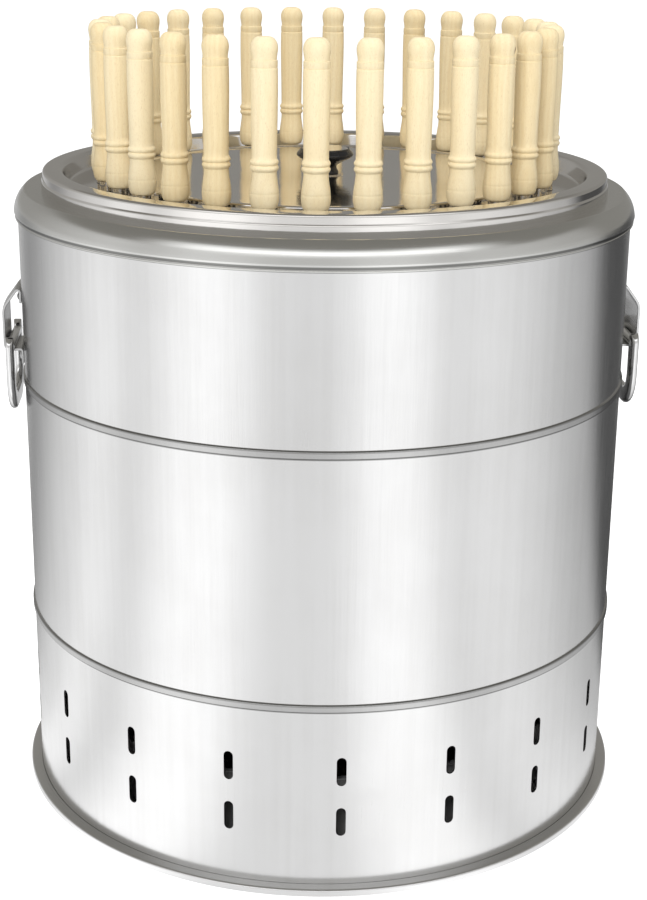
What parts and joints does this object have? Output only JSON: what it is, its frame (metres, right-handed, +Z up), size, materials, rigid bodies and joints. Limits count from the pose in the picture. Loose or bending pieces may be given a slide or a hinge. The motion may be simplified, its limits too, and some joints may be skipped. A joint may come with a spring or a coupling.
{
  "type": "barrel barbecue grill",
  "caption": "Sheet steel barrel charcoal grill on a foot ring, with side drop handles, a notched ring tray of hanging wood-handled skewers, a knobbed lid, drip pan and charcoal basket.",
  "frame": {"origin": "centre of the foot ring's underside", "axes": "+Z up along the barrel, -Y to the front, the drop handles on -X and +X"},
  "size_m": [0.423, 0.412, 0.508],
  "materials": {
    "barrel_steel": "fine upright brushing",
    "foot_steel": "satin",
    "collar_steel": "spun satin",
    "polished_steel": "mirror polished stainless steel",
    "strap_steel": "pressed satin",
    "bright_steel": "bright drawn",
    "pan_steel": "plain rolled sheet",
    "drum_steel": "heat tinted sheet",
    "grate_steel": "heat tinted wire",
    "black_knob": "gloss moulded",
    "turned_wood": "bare turned hardwood"
  },
  "bodies": {
    "barrel": {"barrel_wall": "barrel_steel", "base_ring": "foot_steel", "bottom_plate": "pan_steel", "shoulder_collar": "collar_steel", "left_handle_bracket": "strap_steel", "right_handle_bracket": "strap_steel", "bracket_rivets": "strap_steel"},
    "left_drop_handle": {"left_drop_handle": "bright_steel"},
    "right_drop_handle": {"right_drop_handle": "bright_steel"},
    "skewer_tray": {"skewer_tray": "polished_steel"},
    "inner_lid": {"inner_lid": "polished_steel", "lid_knob": "black_knob", "knob_cap": "polished_steel", "knob_washer": "polished_steel", "knob_screw": "bright_steel"},
    "drip_pan": {"drip_pan": "pan_steel"},
    "charcoal_basket": {"charcoal_basket": "drum_steel", "charcoal_grate": "grate_steel", "basket_feet": "drum_steel", "basket_ears": "drum_steel"},
    "basket_bail": {"basket_bail": "bright_steel"},
    "skewer_01": {"skewer_01": "turned_wood"},
    "skewer_02": {"skewer_02": "turned_wood"},
    "skewer_03": {"skewer_03": "turned_wood"},
    "skewer_04": {"skewer_04": "turned_wood"},
    "skewer_05": {"skewer_05": "turned_wood"},
    "skewer_06": {"skewer_06": "turned_wood"},
    "skewer_07": {"skewer_07": "turned_wood"},
    "skewer_08": {"skewer_08": "turned_wood"},
    "skewer_09": {"skewer_09": "turned_wood"},
    "skewer_10": {"skewer_10": "turned_wood"},
    "skewer_11": {"skewer_11": "turned_wood"},
    "skewer_12": {"skewer_12": "turned_wood"},
    "skewer_13": {"skewer_13": "turned_wood"},
    "skewer_14": {"skewer_14": "turned_wood"},
    "skewer_15": {"skewer_15": "turned_wood"},
    "skewer_16": {"skewer_16": "turned_wood"},
    "skewer_17": {"skewer_17": "turned_wood"},
    "skewer_18": {"skewer_18": "turned_wood"},
    "skewer_19": {"skewer_19": "turned_wood"},
    "skewer_20": {"skewer_20": "turned_wood"},
    "skewer_21": {"skewer_21": "turned_wood"},
    "skewer_22": {"skewer_22": "turned_wood"},
    "skewer_23": {"skewer_23": "turned_wood"},
    "skewer_24": {"skewer_24": "turned_wood"},
    "skewer_25": {"skewer_25": "turned_wood"},
    "skewer_26": {"skewer_26": "turned_wood"},
    "skewer_27": {"skewer_27": "turned_wood"},
    "skewer_28": {"skewer_28": "turned_wood"},
    "skewer_29": {"skewer_29": "turned_wood"},
    "skewer_30": {"skewer_30": "turned_wood"}
  },
  "joints": [
    {"name": "left_handle_swing", "type": "hinge", "parent": "barrel", "child": "left_drop_handle", "pos_m": [-0.20584, 0, 0.3026], "axis": [0, 1, 0], "range_deg": [0, 100]},
    {"name": "right_handle_swing", "type": "hinge", "parent": "barrel", "child": "right_drop_handle", "pos_m": [0.20584, 0, 0.3026], "axis": [0, -1, 0], "range_deg": [0, 100]},
    {"name": "tray_lift", "type": "slide", "parent": "barrel", "child": "skewer_tray", "axis": [0, 0, 1], "range_m": [0, 0.32]},
    {"name": "lid_lift", "type": "slide", "parent": "skewer_tray", "child": "inner_lid", "axis": [0, 0, 1], "range_m": [0, 0.12]},
    {"name": "pan_lift", "type": "slide", "parent": "barrel", "child": "drip_pan", "axis": [0, 0, 1], "range_m": [0, 0.03]},
    {"name": "basket_lift", "type": "slide", "parent": "drip_pan", "child": "charcoal_basket", "axis": [0, 0, 1], "range_m": [0, 0.15]},
    {"name": "basket_bail_swing", "type": "hinge", "parent": "charcoal_basket", "child": "basket_bail", "pos_m": [0, 0, 0.1678], "axis": [1, 0, 0], "range_deg": [0, 180]},
    {"name": "skewer_01_lift", "type": "slide", "parent": "skewer_tray", "child": "skewer_01", "axis": [0, 0, 1], "range_m": [0, 0.31]},
    {"name": "skewer_02_lift", "type": "slide", "parent": "skewer_tray", "child": "skewer_02", "axis": [0, 0, 1], "range_m": [0, 0.31]},
    {"name": "skewer_03_lift", "type": "slide", "parent": "skewer_tray", "child": "skewer_03", "axis": [0, 0, 1], "range_m": [0, 0.31]},
    {"name": "skewer_04_lift", "type": "slide", "parent": "skewer_tray", "child": "skewer_04", "axis": [0, 0, 1], "range_m": [0, 0.31]},
    {"name": "skewer_05_lift", "type": "slide", "parent": "skewer_tray", "child": "skewer_05", "axis": [0, 0, 1], "range_m": [0, 0.31]},
    {"name": "skewer_06_lift", "type": "slide", "parent": "skewer_tray", "child": "skewer_06", "axis": [0, 0, 1], "range_m": [0, 0.31]},
    {"name": "skewer_07_lift", "type": "slide", "parent": "skewer_tray", "child": "skewer_07", "axis": [0, 0, 1], "range_m": [0, 0.31]},
    {"name": "skewer_08_lift", "type": "slide", "parent": "skewer_tray", "child": "skewer_08", "axis": [0, 0, 1], "range_m": [0, 0.31]},
    {"name": "skewer_09_lift", "type": "slide", "parent": "skewer_tray", "child": "skewer_09", "axis": [0, 0, 1], "range_m": [0, 0.31]},
    {"name": "skewer_10_lift", "type": "slide", "parent": "skewer_tray", "child": "skewer_10", "axis": [0, 0, 1], "range_m": [0, 0.31]},
    {"name": "skewer_11_lift", "type": "slide", "parent": "skewer_tray", "child": "skewer_11", "axis": [0, 0, 1], "range_m": [0, 0.31]},
    {"name": "skewer_12_lift", "type": "slide", "parent": "skewer_tray", "child": "skewer_12", "axis": [0, 0, 1], "range_m": [0, 0.31]},
    {"name": "skewer_13_lift", "type": "slide", "parent": "skewer_tray", "child": "skewer_13", "axis": [0, 0, 1], "range_m": [0, 0.31]},
    {"name": "skewer_14_lift", "type": "slide", "parent": "skewer_tray", "child": "skewer_14", "axis": [0, 0, 1], "range_m": [0, 0.31]},
    {"name": "skewer_15_lift", "type": "slide", "parent": "skewer_tray", "child": "skewer_15", "axis": [0, 0, 1], "range_m": [0, 0.31]},
    {"name": "skewer_16_lift", "type": "slide", "parent": "skewer_tray", "child": "skewer_16", "axis": [0, 0, 1], "range_m": [0, 0.31]},
    {"name": "skewer_17_lift", "type": "slide", "parent": "skewer_tray", "child": "skewer_17", "axis": [0, 0, 1], "range_m": [0, 0.31]},
    {"name": "skewer_18_lift", "type": "slide", "parent": "skewer_tray", "child": "skewer_18", "axis": [0, 0, 1], "range_m": [0, 0.31]},
    {"name": "skewer_19_lift", "type": "slide", "parent": "skewer_tray", "child": "skewer_19", "axis": [0, 0, 1], "range_m": [0, 0.31]},
    {"name": "skewer_20_lift", "type": "slide", "parent": "skewer_tray", "child": "skewer_20", "axis": [0, 0, 1], "range_m": [0, 0.31]},
    {"name": "skewer_21_lift", "type": "slide", "parent": "skewer_tray", "child": "skewer_21", "axis": [0, 0, 1], "range_m": [0, 0.31]},
    {"name": "skewer_22_lift", "type": "slide", "parent": "skewer_tray", "child": "skewer_22", "axis": [0, 0, 1], "range_m": [0, 0.31]},
    {"name": "skewer_23_lift", "type": "slide", "parent": "skewer_tray", "child": "skewer_23", "axis": [0, 0, 1], "range_m": [0, 0.31]},
    {"name": "skewer_24_lift", "type": "slide", "parent": "skewer_tray", "child": "skewer_24", "axis": [0, 0, 1], "range_m": [0, 0.31]},
    {"name": "skewer_25_lift", "type": "slide", "parent": "skewer_tray", "child": "skewer_25", "axis": [0, 0, 1], "range_m": [0, 0.31]},
    {"name": "skewer_26_lift", "type": "slide", "parent": "skewer_tray", "child": "skewer_26", "axis": [0, 0, 1], "range_m": [0, 0.31]},
    {"name": "skewer_27_lift", "type": "slide", "parent": "skewer_tray", "child": "skewer_27", "axis": [0, 0, 1], "range_m": [0, 0.31]},
    {"name": "skewer_28_lift", "type": "slide", "parent": "skewer_tray", "child": "skewer_28", "axis": [0, 0, 1], "range_m": [0, 0.31]},
    {"name": "skewer_29_lift", "type": "slide", "parent": "skewer_tray", "child": "skewer_29", "axis": [0, 0, 1], "range_m": [0, 0.31]},
    {"name": "skewer_30_lift", "type": "slide", "parent": "skewer_tray", "child": "skewer_30", "axis": [0, 0, 1], "range_m": [0, 0.31]}
  ]
}
